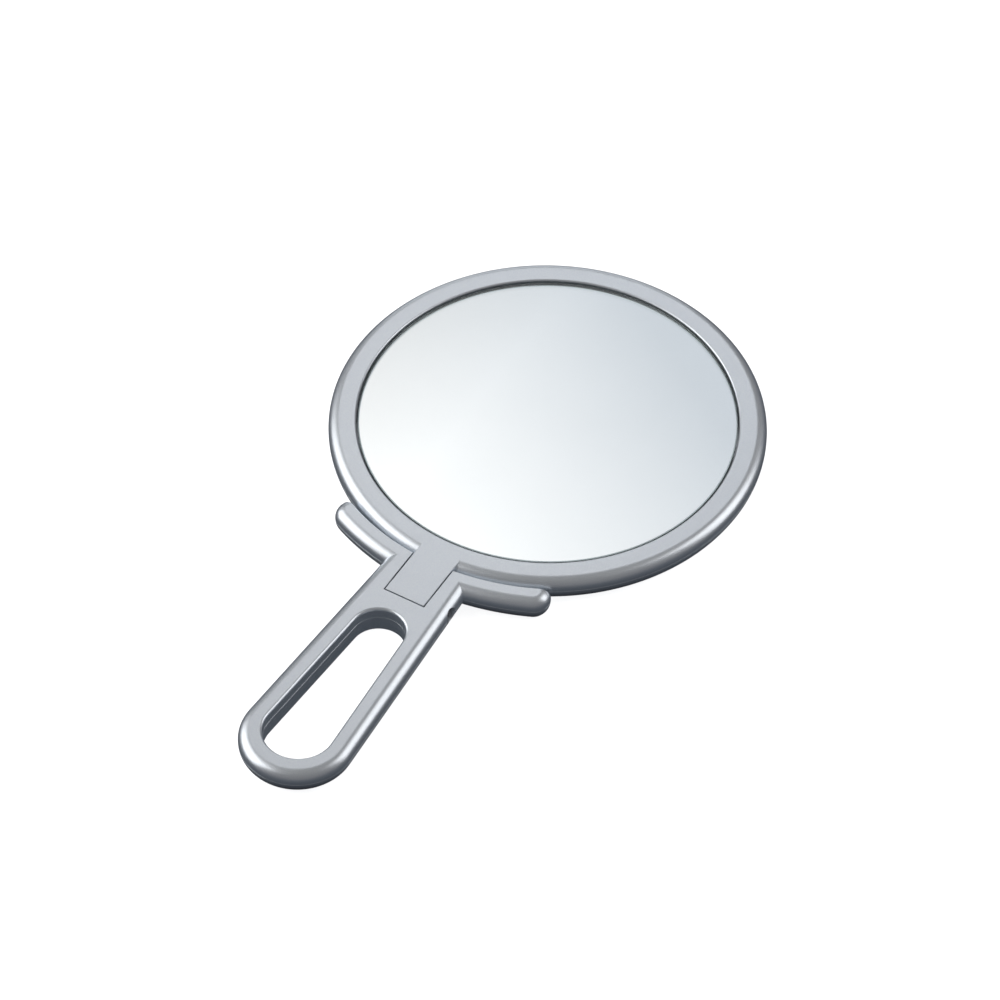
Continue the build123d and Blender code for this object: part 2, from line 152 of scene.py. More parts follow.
class HandleSizes(bpy.types.PropertyGroup):
    """Shape of the looped handle and its wings."""

    neck_radius: FloatProperty(
        name="Neck radius", description="Half width of the bar at the neck",
        default=17.8 * MM, unit="LENGTH")
    neck_at: FloatProperty(
        name="Neck place", description="Distance of the neck circle from the centre",
        default=85.5 * MM, unit="LENGTH")
    end_radius: FloatProperty(
        name="End radius", description="Rounding of the free end", default=23.5 * MM, unit="LENGTH")
    end_at: FloatProperty(
        name="End place", description="Distance of the end circle from the centre",
        default=193.5 * MM, unit="LENGTH")
    neck_cut: FloatProperty(
        name="Neck cut", description="Radius about the head where the bar stops",
        default=94 * MM, unit="LENGTH")
    loop_top_radius: FloatProperty(
        name="Loop top radius", description="Rounding of the opening's upper end",
        default=11.0 * MM, unit="LENGTH")
    loop_top_at: FloatProperty(
        name="Loop top place", description="Distance of the opening's upper circle from the centre",
        default=133.4 * MM, unit="LENGTH")
    loop_end_radius: FloatProperty(
        name="Loop end radius", description="Rounding of the opening's lower end",
        default=14.3 * MM, unit="LENGTH")
    loop_end_at: FloatProperty(
        name="Loop end place", description="Distance of the opening's lower circle from the centre",
        default=192.7 * MM, unit="LENGTH")
    loop_round: FloatProperty(
        name="Loop front rounding", description="Rounding of the opening's front edge",
        default=1.2 * MM, unit="LENGTH")
    loop_back_round: FloatProperty(
        name="Loop back rounding", description="Rounding of the opening's back edge",
        default=0.5 * MM, unit="LENGTH")
    wing_centre: FloatProperty(
        name="Wing centre", description="How far the wings' arcs are centred above the head's centre",
        default=9.0 * MM, unit="LENGTH")
    wing_inner: FloatProperty(
        name="Wing inner radius", description="Radius of the wings' inner edge",
        default=100.4 * MM, unit="LENGTH")
    wing_outer: FloatProperty(
        name="Wing outer radius", description="Radius of the wings' outer edge",
        default=109.2 * MM, unit="LENGTH")
    wing_angle: FloatProperty(
        name="Wing angle", description="Reach of each wing about its centre",
        default=math.radians(28.5), unit="ROTATION")
    wing_corner: FloatProperty(
        name="Wing outer corner", description="Rounding of the wing tip's outer corner",
        default=7.2 * MM, unit="LENGTH")
    wing_inner_corner: FloatProperty(
        name="Wing inner corner", description="Rounding of the wing tip's inner corner",
        default=1.3 * MM, unit="LENGTH")
    wing_front_break: FloatProperty(
        name="Wing front bevel", description="Bevel of the wings' inner front edge",
        default=0.4 * MM, unit="LENGTH")
    wing_back_break: FloatProperty(
        name="Wing back bevel", description="Bevel that clears the rim while the handle folds",
        default=2.0 * MM, unit="LENGTH")
    fork_gap: FloatProperty(
        name="Fork gap", description="Free gap between tongue and fork", default=0.4 * MM, unit="LENGTH")
    fork_edge: FloatProperty(
        name="Fork edge", description="Broken edge of the fork", default=0.25 * MM, unit="LENGTH")
    stop_lean: FloatProperty(
        name="Stop lean", description="How far the fork's end wall leans back by the pin's height",
        default=0.4 * MM, unit="LENGTH")
    stop_run: FloatProperty(
        name="Stop run", description="Length of the ramp that stops the fold",
        default=4.0 * MM, unit="LENGTH")
    front_inset: FloatProperty(
        name="Front hollow inset", description="Wall left round the front shell's hollow",
        default=2.2 * MM, unit="LENGTH")
    back_inset: FloatProperty(
        name="Back hollow inset", description="Wall left round the back shell's hollow",
        default=3.6 * MM, unit="LENGTH")
    floor: FloatProperty(
        name="Floor", description="Thickness left below the back shell's hollow",
        default=2.4 * MM, unit="LENGTH")
    hollow_top: FloatProperty(
        name="Hollow top", description="Where the hollow stops below the neck",
        default=121 * MM, unit="LENGTH")
    neck_screw_x: FloatProperty(
        name="Neck screw offset", description="Sideways place of the two neck screws",
        default=13.8 * MM, unit="LENGTH")
    neck_screw_at: FloatProperty(
        name="Neck screw place", description="Distance of the two neck screws from the centre",
        default=98.8 * MM, unit="LENGTH")
    side_screw_x: FloatProperty(
        name="Side screw offset", description="Sideways place of the two middle screws",
        default=17.0 * MM, unit="LENGTH")
    side_screw_at: FloatProperty(
        name="Side screw place", description="Distance of the two middle screws from the centre",
        default=160 * MM, unit="LENGTH")
    end_screw_at: FloatProperty(
        name="End screw place", description="Distance of the end screw from the centre",
        default=212 * MM, unit="LENGTH")


class HardwareSizes(bpy.types.PropertyGroup):
    """Screws, nut and washers."""

    washer_seat: FloatProperty(
        name="Washer seat", description="Depth of the washer seats in the tongue",
        default=0.5 * MM, unit="LENGTH")
    hole_radius: FloatProperty(
        name="Ear hole", description="Radius of the hole through each ear", default=1.6 * MM, unit="LENGTH")
    recess_radius: FloatProperty(
        name="Head recess", description="Radius of the recess round the screw head",
        default=3.4 * MM, unit="LENGTH")
    nut_play: FloatProperty(
        name="Nut play", description="Play of the nut in its pocket", default=0.1 * MM, unit="LENGTH")
    shank_radius: FloatProperty(
        name="Shank radius", description="Radius of the hinge screw's shank",
        default=1.5 * MM, unit="LENGTH")
    head_radius: FloatProperty(
        name="Pan head radius", description="Radius of the hinge screw's head",
        default=2.8 * MM, unit="LENGTH")
    head_depth: FloatProperty(
        name="Pan head depth", description="Depth of the hinge screw's head",
        default=2.0 * MM, unit="LENGTH")
    head_round: FloatProperty(
        name="Pan head rounding", description="Rounding of the hinge screw's head",
        default=1.1 * MM, unit="LENGTH")
    slot_width: FloatProperty(
        name="Cross width", description="Width of the cross recess", default=0.7 * MM, unit="LENGTH")
    slot_depth: FloatProperty(
        name="Cross depth", description="Depth of the cross recess", default=0.8 * MM, unit="LENGTH")
    tapper_head: FloatProperty(
        name="Self-tapper head", description="Radius of a self-tapping screw's head",
        default=2.1 * MM, unit="LENGTH")
    tapper_depth: FloatProperty(
        name="Self-tapper head depth", description="Depth of a self-tapping screw's head",
        default=1.3 * MM, unit="LENGTH")
    tapper_shank: FloatProperty(
        name="Self-tapper shank", description="Radius of a self-tapping screw's shank",
        default=1.05 * MM, unit="LENGTH")
    tapper_length: FloatProperty(
        name="Self-tapper length", description="Length below the head", default=7.0 * MM, unit="LENGTH")
    tapper_span: FloatProperty(
        name="Self-tapper cross", description="Span of the self-tapper's cross recess",
        default=2.4 * MM, unit="LENGTH")
    bore_radius: FloatProperty(
        name="Counterbore radius", description="Radius of a screw's counterbore",
        default=2.3 * MM, unit="LENGTH")
    bore_seat: FloatProperty(
        name="Counterbore seat", description="Height of the counterbore's seat",
        default=3.2 * MM, unit="LENGTH")
    neck_seat: FloatProperty(
        name="Neck seat", description="Height of the tongue screw's seat", default=3.9 * MM, unit="LENGTH")
    clear_radius: FloatProperty(
        name="Clearance hole", description="Hole for the shank through the back shell",
        default=1.25 * MM, unit="LENGTH")
    bore_flare: FloatProperty(
        name="Counterbore flare", description="Bevel at the mouth of a counterbore",
        default=0.2 * MM, unit="LENGTH")
    pilot_play: FloatProperty(
        name="Pilot play", description="Length of a pilot hole beyond the screw's tip",
        default=0.2 * MM, unit="LENGTH")
    boss_radius: FloatProperty(
        name="Boss radius", description="Radius of the boss round each rim screw",
        default=2.4 * MM, unit="LENGTH")


class Finishes(bpy.types.PropertyGroup):
    """Colours and surfaces."""

    paint: FloatVectorProperty(
        name="Silver paint", description="Colour of the metallic paint",
        default=(0.93, 0.97, 1.0), size=3, min=0, max=1, subtype="COLOR")
    paint_shade: FloatVectorProperty(
        name="Silver shade", description="Colour between the brighter flakes",
        default=(0.87, 0.91, 0.965), size=3, min=0, max=1, subtype="COLOR")
    flake: FloatProperty(
        name="Flake size", description="Size of the flakes in the paint", default=0.28 * MM, unit="LENGTH")
    paint_roughness: FloatProperty(
        name="Paint roughness", description="Roughness of the flake layer", default=0.35, min=0, max=1)
    glass: FloatVectorProperty(
        name="Glass", description="Tint of the float glass",
        default=(0.965, 0.99, 0.985), size=3, min=0, max=1, subtype="COLOR")
    ground_edge: FloatVectorProperty(
        name="Ground edge", description="Tint of the ground bevel round the glass",
        default=(0.45, 0.56, 0.57), size=3, min=0, max=1, subtype="COLOR")
    silvering: FloatVectorProperty(
        name="Silvering", description="Colour of the silver layer",
        default=(0.97, 0.975, 0.98), size=3, min=0, max=1, subtype="COLOR")
    foam: FloatVectorProperty(
        name="Foam", description="Colour of the backing foam",
        default=(0.78, 0.78, 0.75), size=3, min=0, max=1, subtype="COLOR")
    steel: FloatVectorProperty(
        name="Plated steel", description="Colour of the zinc-plated steel",
        default=(0.58, 0.585, 0.60), size=3, min=0, max=1, subtype="COLOR")
    nylon: FloatVectorProperty(
        name="Nylon", description="Colour of the washers",
        default=(0.80, 0.80, 0.77), size=3, min=0, max=1, subtype="COLOR")


class StudioSettings(bpy.types.PropertyGroup):
    """Camera, lights and floor."""

    azimuth: FloatProperty(
        name="Camera azimuth",
        description="Turn of the camera about the vertical, from straight below the handle",
        default=math.radians(30.229), unit="ROTATION")
    elevation: FloatProperty(
        name="Camera elevation", description="Height of the camera above the floor's plane",
        default=math.radians(48.144), unit="ROTATION")
    roll: FloatProperty(
        name="Camera roll", description="Turn of the camera about its own axis",
        default=math.radians(0.5515), unit="ROTATION")
    distance: FloatProperty(
        name="Camera distance", description="From the target to the camera",
        default=2327.85 * MM, unit="LENGTH")
    target: FloatVectorProperty(
        name="Camera target", description="Point on the floor that the camera looks at",
        default=(0.672 * MM, -39.446 * MM, 0), size=3, subtype="XYZ", unit="LENGTH")
    lens: FloatProperty(
        name="Lens", description="Focal length in millimetres on a 36 mm sensor", default=205.66, min=1)
    left_strength: FloatProperty(
        name="Left box", description="Brightness of the large left softbox", default=1.32, min=0)
    right_strength: FloatProperty(
        name="Right box", description="Brightness of the smaller right softbox", default=1.2, min=0)
    back_strength: FloatProperty(
        name="Back wall", description="Brightness of the grey wall behind", default=0.42, min=0)
    floor_glow: FloatProperty(
        name="Floor glow", description="Light that the floor gives back by itself", default=0.86, min=0)


# ---- small mesh tools ----
def between(start, end, steps):
    """Evenly spaced numbers from start to end, both included."""
    return [start + (end - start) * k / steps for k in range(steps + 1)]


def arc(centre, radius, start, end, steps):
    """Points on an arc in the plane, angles in radians."""
    return [
        (centre[0] + radius * math.cos(a), centre[1] + radius * math.sin(a))
        for a in between(start, end, steps)
    ]


def mirrored(half):
    """Whole outline from its right half, which starts and ends on the middle line."""
    return half + [(-x, y) for x, y in reversed(half[1:-1])]


def lifted(outline, height):
    """Flat outline at one height."""
    return [(x, y, height) for x, y in outline]


def upright_ring(radius, height, middle=(0, 0), steps=SMALL_STEPS):
    """Circle of points about a vertical axis."""
    points = [2 * math.pi * k / steps for k in range(steps)]
    return [(middle[0] + radius * math.cos(a), middle[1] + radius * math.sin(a), height) for a in points]


def pin_ring(radius, along, steps=SMALL_STEPS):
    """Circle of points about the hinge axis, at one place along X."""
    points = [2 * math.pi * k / steps for k in range(steps)]
    return [(along, PIN.y + radius * math.cos(a), PIN.z + radius * math.sin(a)) for a in points]


def hexagon(across, along, turn):
    """Hexagon about the hinge axis; across is from the middle to a corner."""
    angles = [turn + math.pi / 3 * k for k in range(6)]
    return [(along, PIN.y + across * math.cos(a), PIN.z + across * math.sin(a)) for a in angles]


def add_solid(mesh, rings, closed=False):
    """Closed solid through rings of equal count; its ends are capped unless it closes on itself."""
    rows = [[mesh.verts.new(point) for point in ring] for ring in rings]
    pairs = list(zip(rows, rows[1:]))
    if closed:
        pairs.append((rows[-1], rows[0]))
    else:
        mesh.faces.new(rows[0])
        mesh.faces.new(rows[-1])
    for near, far in pairs:
        for k in range(len(near)):
            mesh.faces.new((near[k - 1], near[k], far[k], far[k - 1]))


def piece_from(name, mesh):
    """Object in the scene from a finished bmesh, its faces turned outward."""
    bmesh.ops.recalc_face_normals(mesh, faces=mesh.faces)
    data = bpy.data.meshes.new(name)
    mesh.to_mesh(data)
    mesh.free()
    piece = bpy.data.objects.new(name, data)
    bpy.context.scene.collection.objects.link(piece)
    return piece


def solid(name, rings, closed=False):
    """Object made of one solid through the given rings."""
    mesh = bmesh.new()
    add_solid(mesh, rings, closed)
    return piece_from(name, mesh)


def block(name, low, high):
    """Plain box between two corners, used as a cutter."""
    corners = [(low[0], low[1]), (high[0], low[1]), (high[0], high[1]), (low[0], high[1])]
    return solid(name, [lifted(corners, low[2]), lifted(corners, high[2])])


def settle(piece):
    """Applies a piece's modifiers to its mesh."""
    graph = bpy.context.evaluated_depsgraph_get()
    data = bpy.data.meshes.new_from_object(piece.evaluated_get(graph))
    old = piece.data
    piece.modifiers.clear()
    piece.data = data
    bpy.data.meshes.remove(old)


def discard(piece):
    """Removes an object and its mesh."""
    data = piece.data
    bpy.data.objects.remove(piece)
    bpy.data.meshes.remove(data)


def combine(piece, tool, operation):
    """Joins, cuts or keeps the common part of two solids; the tool is used up."""
    modifier = piece.modifiers.new(operation.lower(), "BOOLEAN")
    modifier.operation = operation
    modifier.solver = "EXACT"
    modifier.object = tool
    settle(piece)
    discard(tool)
    if not piece.data.polygons:
        raise RuntimeError(f"{piece.name} was left empty by {operation.lower()}")


def cut(piece, tool):
    """Takes the tool out of the piece."""
    combine(piece, tool, "DIFFERENCE")


def smooth(piece, angle=SHARP_ANGLE):
    """Merges doubles, shades smooth between sharp edges and lets flats keep their own direction."""
    mesh = bmesh.new()
    mesh.from_mesh(piece.data)
    bmesh.ops.remove_doubles(mesh, verts=mesh.verts, dist=0.004 * MM)
    bmesh.ops.dissolve_degenerate(mesh, edges=mesh.edges, dist=0.002 * MM)
    bmesh.ops.recalc_face_normals(mesh, faces=mesh.faces)
    mesh.to_mesh(piece.data)
    mesh.free()
    piece.data.shade_smooth()
    piece.data.set_sharp_from_angle(angle=angle)
    weighted = piece.modifiers.new("flats", "WEIGHTED_NORMAL")
    weighted.keep_sharp = True
    settle(piece)


def finish_piece(piece, body, slot, material, *nodes):
    """Gives a piece its material and its body, and hides the frame nodes that it stands for."""
    piece.data.materials.clear()
    piece.data.materials.append(material)
    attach(piece, body)
    if nodes:
        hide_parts(*nodes)


# ---- outlines ----
def hull_half(top_radius, top_at, end_radius, end_at, grow=0.0):
    """Right half of a tapered bar with two round ends, grown outward, from its top to its end."""
    lean = math.asin((end_radius - top_radius) / (end_at - top_at))
    upper = arc((0, -top_at), top_radius + grow, math.pi / 2, lean, 24)
    lower = arc((0, -end_at), end_radius + grow, lean, -math.pi / 2, 48)
    return upper + lower


def bar_outline(sizes, grow=0.0):
    """Outline of the bar, stopped at the neck by an arc about the head's centre."""
    lean = math.asin((sizes.end_radius - sizes.neck_radius) / (sizes.end_at - sizes.neck_at))
    lower = arc((0, -sizes.end_at), sizes.end_radius + grow, lean, -math.pi / 2, 48)
    side = Vector((math.cos(lean), math.sin(lean)))
    foot = side * (sizes.neck_radius + grow) + Vector((0, -sizes.neck_at))
    along = Vector((-side.y, side.x))
    reach = foot.dot(along)
    away = foot.length_squared - sizes.neck_cut ** 2
    meeting = foot + along * (-reach - math.sqrt(reach ** 2 - away))
    start = math.atan2(meeting.y, meeting.x)
    top = arc((0, 0), sizes.neck_cut, -math.pi / 2, start, 20)
    return mirrored(top + lower)


def loop_outline(sizes, grow=0.0):
    """Outline of the finger opening."""
    return mirrored(hull_half(
        sizes.loop_top_radius, sizes.loop_top_at, sizes.loop_end_radius, sizes.loop_end_at, grow))


def wing_outline(sizes, inset=0.0):
    """Outline of the curved band, inset everywhere but on its inner edge."""
    centre = Vector((0, sizes.wing_centre))
    out = Vector((math.sin(sizes.wing_angle), -math.cos(sizes.wing_angle)))
    inward = Vector((out.y, -out.x))
    heading = math.atan2(-inward.y, -inward.x)
    span = sizes.wing_outer - sizes.wing_corner
    corner = out * math.sqrt(span ** 2 - sizes.wing_corner ** 2) + inward * sizes.wing_corner
    small = sizes.wing_inner_corner
    inner_span = sizes.wing_inner + small
    side = inset + small
    tip = out * math.sqrt(inner_span ** 2 - side ** 2) + inward * side
    corner_angle = math.atan2(corner.y, corner.x)
    tip_angle = math.atan2(tip.y, tip.x)
    outer = arc(centre, sizes.wing_outer - inset, -math.pi / 2, corner_angle, 40)
    outer_corner = arc(centre + corner, sizes.wing_corner - inset, corner_angle, heading, 12)
    inner_corner = arc(centre + tip, small, heading, tip_angle + math.pi, 6)
    inner = arc(centre, sizes.wing_inner, tip_angle, -math.pi / 2, 40)
    return mirrored(outer + outer_corner[1:] + inner_corner + inner[1:])


def edge_levels(face, radius, seam):
    """Inset and height of each ring from the parting line to a rounded face."""
    way = 1 if face > PARTING else -1
    start = face - way * radius
    levels = [(seam, PARTING), (0.0, PARTING + way * seam)]
    for a in between(0, math.pi / 2, ROUND_STEPS):
        levels.append((radius * (1 - math.cos(a)), start + way * radius * math.sin(a)))
    return levels


# ---- material tools ----
class Shader:
    """Short way to add and link the nodes of one material."""

    def __init__(self, name):
        self.material = bpy.data.materials.new(name)
        self.material.use_nodes = True
        self.nodes = self.material.node_tree.nodes
        self.links = self.material.node_tree.links
        self.surface = self.nodes["Principled BSDF"]
        self.place = self.nodes.new("ShaderNodeTexCoord").outputs["Object"]

    def set(self, **values):
        """Sets inputs of the surface to plain values."""
        for name, value in values.items():
            self.surface.inputs[name.replace("_", " ")].default_value = value

    def feed(self, socket, output):
        """Links an output to an input of the surface."""
        self.links.new(output, self.surface.inputs[socket])

    def node(self, kind, **inputs):
        """New node, each input set to a value or linked to an output."""
        made = self.nodes.new(kind)
        for name, value in inputs.items():
            socket = made.inputs[name.replace("_", " ")]
            if isinstance(value, bpy.types.NodeSocket):
                self.links.new(value, socket)
            else:
                socket.default_value = value
        return made

    def noise(self, size, detail=2.0, roughness=0.5):
        """Noise whose lumps are about that size."""
        return self.node(
            "ShaderNodeTexNoise", Vector=self.place, Scale=1 / size, Detail=detail, Roughness=roughness)

    def cells(self, size):
        """Cells of about that size, each with a colour of its own."""
        return self.node("ShaderNodeTexVoronoi", Vector=self.place, Scale=1 / size)

    def math(self, operation, first, second):
        """Sum, product or other result of two values."""
        made = self.nodes.new("ShaderNodeMath")
        made.operation = operation
        for socket, value in zip(made.inputs, (first, second)):
            if isinstance(value, bpy.types.NodeSocket):
                self.links.new(value, socket)
            else:
                socket.default_value = value
        return made.outputs[0]

    def span(self, value, low, high, to_low, to_high):
        """Value moved from one range to another and held inside it."""
        made = self.node(
            "ShaderNodeMapRange", Value=value, From_Min=low, From_Max=high, To_Min=to_low, To_Max=to_high)
        return made.outputs["Result"]

    def swing(self, noise, to_low, to_high):
        """Usual range of a noise moved to another."""
        return self.span(noise.outputs["Fac"], 0.3, 0.7, to_low, to_high)

    def mix(self, amount, first, second):
        """Colour between two others."""
        made = self.nodes.new("ShaderNodeMix")
        made.data_type = "RGBA"
        factor, start, end = made.inputs["Factor"], made.inputs[6], made.inputs[7]
        for socket, value in ((factor, amount), (start, first), (end, second)):
            if isinstance(value, bpy.types.NodeSocket):
                self.links.new(value, socket)
            else:
                socket.default_value = value
        return made.outputs[2]

    def bump(self, height, distance):
        """Bump of that height in metres."""
        return self.node("ShaderNodeBump", Height=height, Distance=distance, Strength=1.0)


def opaque(colour):
    """Colour with full alpha."""
    return (*colour, 1.0)


# Places along a colour ramp and their colours: the card from its near left to its far right,
# and the room from straight below to straight above.
CARD_SHADES = (
    (0.0, (0.45, 0.46, 0.48)), (0.286, (1.18, 1.17, 1.165)), (0.714, (0.65, 0.685, 0.735)),
    (0.77, (0.63, 0.67, 0.725)), (1.0, (1.85, 1.90, 1.96)))
ROOM_SHADES = (
    (0.0, (0.012, 0.013, 0.016)), (0.10, (0.05, 0.058, 0.07)), (0.47, (0.075, 0.085, 0.10)),
    (0.60, (0.16, 0.16, 0.17)), (1.0, (0.21, 0.21, 0.21)))


def fill_ramp(ramp, stops):
    """Gives a colour ramp its stops, each a place and a colour, from first to last."""
    elements = ramp.color_ramp.elements
    for element, (place, colour) in zip(elements, (stops[0], stops[-1])):
        element.position, element.color = place, opaque(colour)
    for place, colour in stops[1:-1]:
        elements.new(place).color = opaque(colour)


def silver_paint(finish):
    """Metallic silver paint: fine flakes at slightly different angles under a soft clear coat."""
    shader = Shader("silver_paint")
    flakes = shader.cells(finish.flake)
    brightness = shader.node("ShaderNodeSeparateColor", Color=flakes.outputs["Color"])
    cloud = shader.noise(14 * MM, detail=3.0)
    drift = shader.swing(cloud, -0.06, 0.06)
    amount = shader.math("ADD", brightness.outputs["Red"], drift)
    shader.feed("Base Color", shader.mix(amount, opaque(finish.paint_shade), opaque(finish.paint)))
    grain = shader.noise(0.5 * MM, detail=2.0)
    spread = 0.04
    shader.feed("Roughness", shader.swing(
        grain, finish.paint_roughness - spread, finish.paint_roughness + spread))
    peel = shader.noise(1.6 * MM, detail=1.0)
    swell = shader.bump(peel.outputs["Fac"], 0.006 * MM)
    flake_bump = shader.bump(brightness.outputs["Green"], 0.0025 * MM)
    shader.links.new(swell.outputs["Normal"], flake_bump.inputs["Normal"])
    shader.feed("Normal", flake_bump.outputs["Normal"])
    shader.links.new(swell.outputs["Normal"], shader.surface.inputs["Coat Normal"])
    shader.set(Metallic=0.92, Coat_Weight=0.25, Coat_Roughness=0.16, Coat_IOR=1.5)
    return shader.material


def clear_glass(finish):
    """Float glass, faintly green, with a very slight waviness."""
    shader = Shader("float_glass")
    wave = shader.noise(40 * MM, detail=1.0)
    tint = shader.swing(wave, 0.0, 1.0)
    pale = tuple(min(1.0, c + 0.006) for c in finish.glass)
    clear = shader.mix(tint, opaque(finish.glass), opaque(pale))
    flat = shader.node("ShaderNodeVectorMath", Vector=shader.place)
    flat.operation = "MULTIPLY"
    flat.inputs[1].default_value = (1.0, 1.0, 0.0)
    away = shader.node("ShaderNodeVectorMath", Vector=flat.outputs["Vector"])
    away.operation = "LENGTH"
    start, soft = GLASS_HIGH.x - bpy.context.scene.mirror_glass.bevel, 0.02 * MM
    ground = shader.span(away.outputs["Value"], start - soft, start + soft, 0.0, 1.0)
    shader.feed("Base Color", shader.mix(ground, clear, opaque(finish.ground_edge)))
    shader.feed("Roughness", shader.math("MULTIPLY", ground, 0.5))
    ripple = shader.bump(wave.outputs["Fac"], 0.0006 * MM)
    shader.feed("Normal", ripple.outputs["Normal"])
    shader.set(Transmission_Weight=1.0, IOR=1.52)
    return shader.material


def silver_film(finish):
    """Bright silver film, with the faintest cloudiness."""
    shader = Shader("silver_film")
    cloud = shader.noise(25 * MM, detail=3.0)
    amount = shader.swing(cloud, 0.0, 1.0)
    duller = tuple(c - 0.01 for c in finish.silvering)
    shader.feed("Base Color", shader.mix(amount, opaque(duller), opaque(finish.silvering)))
    shader.set(Metallic=1.0, Roughness=0.005)
    return shader.material


def foam_sheet(finish):
    """Closed-cell foam with fine pores, their hollows painted darker as shade."""
    shader = Shader("foam_sheet")
    pores = shader.cells(0.6 * MM)
    depth = shader.span(pores.outputs["Distance"], 0.0, 0.6, 0.0, 1.0)
    # Painted shade: each pore is darker towards its middle, where the bump makes its hollow.
    darker = tuple(0.82 * c for c in finish.foam)
    shader.feed("Base Color", shader.mix(depth, opaque(darker), opaque(finish.foam)))
    shader.feed("Normal", shader.bump(depth, 0.12 * MM).outputs["Normal"])
    shader.set(Roughness=0.9)
    return shader.material


def zinc_plate(finish):
    """Zinc-plated steel with fine turning marks and slight clouding."""
    shader = Shader("zinc_plate")
    cloud = shader.noise(1.2 * MM, detail=4.0)
    darker = tuple(0.72 * c for c in finish.steel)
    amount = shader.swing(cloud, 0.0, 1.0)
    shader.feed("Base Color", shader.mix(amount, opaque(darker), opaque(finish.steel)))
    shader.feed("Roughness", shader.swing(cloud, 0.22, 0.38))
    marks = shader.noise(0.18 * MM, detail=2.0)
    shader.feed("Normal", shader.bump(marks.outputs["Fac"], 0.006 * MM).outputs["Normal"])
    shader.set(Metallic=1.0)
    return shader.material


def natural_nylon(finish):
    """Milky nylon with a fine moulded grain."""
    shader = Shader("natural_nylon")
    grain = shader.noise(0.3 * MM, detail=3.0)
    darker = tuple(0.92 * c for c in finish.nylon)
    shader.feed("Base Color", shader.mix(grain.outputs["Fac"], opaque(darker), opaque(finish.nylon)))
    shader.feed("Normal", shader.bump(grain.outputs["Fac"], 0.01 * MM).outputs["Normal"])
    shader.set(Roughness=0.45)
    return shader.material


MAKERS = {
    "silver_paint": silver_paint,
    "float_glass": clear_glass,
    "silver_film": silver_film,
    "foam_sheet": foam_sheet,
    "zinc_plate": zinc_plate,
    "natural_nylon": natural_nylon,
}


def finish_named(name):
    """The material of that name, made the first time it is asked for."""
    return bpy.data.materials.get(name) or MAKERS[name](bpy.context.scene.mirror_finishes)


def dress_node(name, material):
    """Gives a frame node that stays as it is a better material."""
    slots = frame["nodes"][name].material_slots
    if not slots:
        frame["nodes"][name].data.materials.append(material)
    for slot in slots:
        slot.material = material


# ---- shared cutters ----
def screw_bores(name, places, hardware, seat, face):
    """Counterbores from a back face to a seat, with clearance holes up to the parting line."""
    mesh = bmesh.new()
    bore, flare = hardware.bore_radius, hardware.bore_flare
    steps = [
        (bore + flare, face - CLEAR), (bore + flare, face), (bore, face + flare), (bore, seat),
        (hardware.clear_radius, seat), (hardware.clear_radius, PARTING + CLEAR),
    ]
    for place in places:
        add_solid(mesh, [upright_ring(r, z, place) for r, z in steps])
    return piece_from(name, mesh)


def pilot_bores(name, places, hardware, seat):
    """Pilot holes in a front shell for screws whose heads lie on the seat."""
    mesh = bmesh.new()
    heights = (PARTING - CLEAR, seat + hardware.tapper_length + hardware.pilot_play)
    for place in places:
        add_solid(mesh, [upright_ring(hardware.tapper_shank, z, place, PILOT_STEPS) for z in heights])
    return piece_from(name, mesh)


def rim_screw_places(head):
    """Five places on the rim, the sixth being taken by the tongue."""
    angles = [math.radians(a) for a in range(-30, 211, 60)]
    return [(head.screw_circle * math.cos(a), head.screw_circle * math.sin(a)) for a in angles]


def handle_screw_places(handle):
    """Two places at the neck, two beside the loop and one at the end."""
    pairs = [(handle.neck_screw_x, -handle.neck_screw_at), (handle.side_screw_x, -handle.side_screw_at)]
    return [(side * x, y) for x, y in pairs for side in (-1, 1)] + [(0.0, -handle.end_screw_at)]


def hinge_bore(name, head, hardware):
    """Sleeve bore through the tongue, with a seat for each washer."""
    end = head.tongue_half + CLEAR
    seat = head.tongue_half - hardware.washer_seat
    sleeve = (SLEEVE_HIGH.z - SLEEVE_LOW.z) / 2
    washer = (WASHER_HIGH.z - WASHER_LOW.z) / 2
    steps = [
        (washer, -end), (washer, -seat), (sleeve, -seat),
        (sleeve, seat), (washer, seat), (washer, end)]
    return solid(name, [pin_ring(r, x) for r, x in steps])


